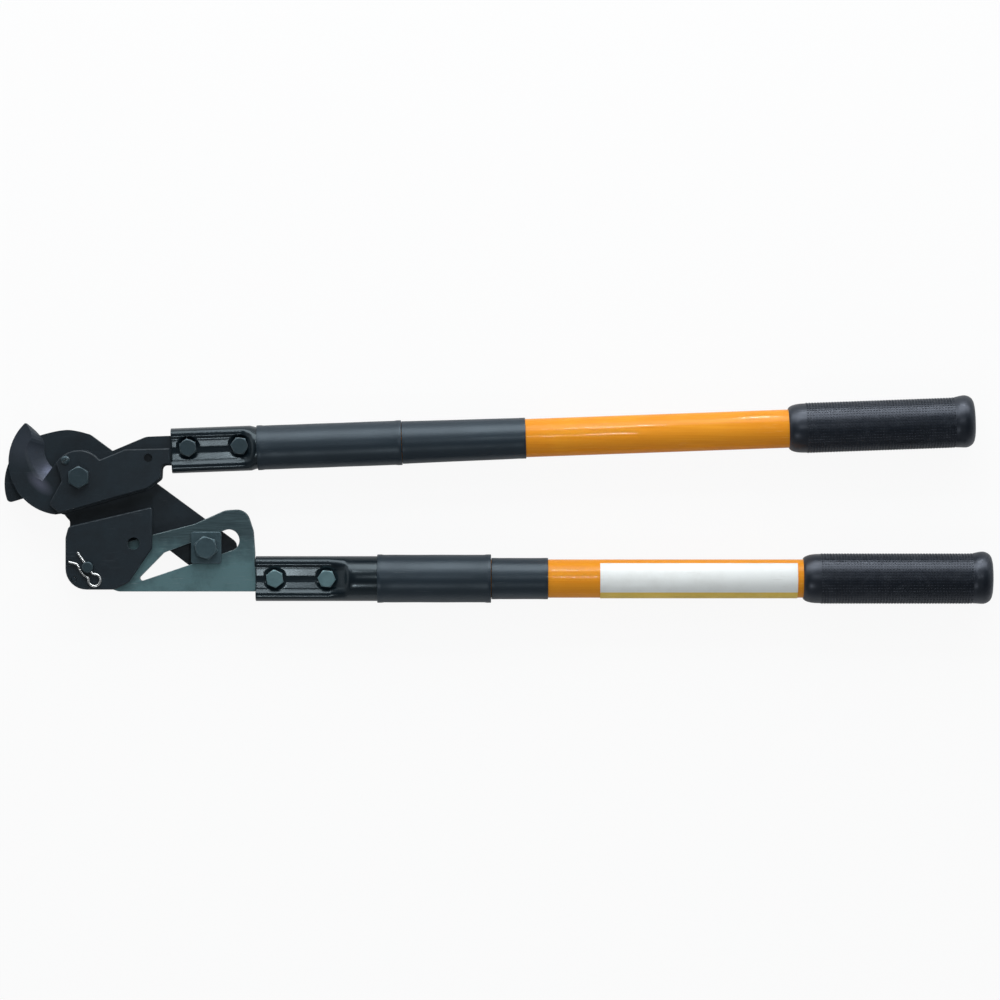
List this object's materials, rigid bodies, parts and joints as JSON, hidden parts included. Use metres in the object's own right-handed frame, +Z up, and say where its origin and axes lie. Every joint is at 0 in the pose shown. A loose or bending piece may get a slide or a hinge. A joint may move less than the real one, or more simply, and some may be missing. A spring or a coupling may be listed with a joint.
{
  "type": "cable cutter",
  "caption": "Insulated long-handled cable cutter with crossing hook blades on one pivot, a pinned handle bracket and fibreglass handles with rubber grips.",
  "frame": {"origin": "centre of the tool's box on the surface it lies on", "axes": "+X from the jaws towards the grips, +Y from the lower handle towards the upper one, +Z up out of the surface, along the pivot"},
  "size_m": [0.8005, 0.1708, 0.044],
  "materials": {
    "black_steel": "satin black paint over forged steel",
    "brushed_steel": "brushed, oil-blackened steel",
    "bolt_steel": "black oxide steel",
    "zinc_wire": "bright zinc-plated wire",
    "bronze": "plain bearing bronze",
    "black_sleeve": "shrunk black insulation",
    "orange_tube": "glossy orange fibreglass",
    "black_rubber": "moulded textured rubber",
    "white_label": "bare white sticker with a yellow strip"
  },
  "bodies": {
    "fixed_half": {"lower_blade": "black_steel", "pivot_bolt": "bolt_steel", "pivot_bush": "bronze", "pivot_washer": "bolt_steel", "pivot_nut": "bolt_steel", "pivot_lock_screw": "bolt_steel", "upper_ferrule": "black_steel", "upper_ferrule_bolt_front": "bolt_steel", "upper_ferrule_bolt_rear": "bolt_steel", "upper_ferrule_nut_front": "bolt_steel", "upper_ferrule_nut_rear": "bolt_steel", "upper_sleeve_front": "black_sleeve", "upper_sleeve_rear": "black_sleeve", "upper_tube": "orange_tube", "upper_grip": "black_rubber"},
    "swinging_half": {"upper_blade": "black_steel", "cheek_plate": "black_steel", "clevis_spacer": "black_steel", "clevis_rivet_upper": "black_steel", "clevis_rivet_lower": "black_steel", "handle_bracket": "brushed_steel", "slide_bush": "bronze", "keeper_plate": "black_steel", "slide_bolt": "bolt_steel", "slide_nut": "bolt_steel", "latch_pin": "bolt_steel", "lower_ferrule": "black_steel", "lower_ferrule_bolt_front": "bolt_steel", "lower_ferrule_bolt_rear": "bolt_steel", "lower_ferrule_nut_front": "bolt_steel", "lower_ferrule_nut_rear": "bolt_steel", "lower_sleeve_thick": "black_sleeve", "lower_sleeve_thin": "black_sleeve", "lower_tube": "orange_tube", "lower_label": "white_label", "lower_grip": "black_rubber"},
    "spring_clip": {"r_clip": "zinc_wire"}
  },
  "joints": [
    {"name": "jaw_pivot", "type": "hinge", "parent": "fixed_half", "child": "swinging_half", "pos_m": [-0.33854, 0.01856, 0.01742], "axis": [0, 0, -1], "range_deg": [0, 95]},
    {"name": "clip_slide", "type": "slide", "parent": "swinging_half", "child": "spring_clip", "axis": [0.575, -0.8181, 0], "range_m": [0, 0.022]}
  ]
}
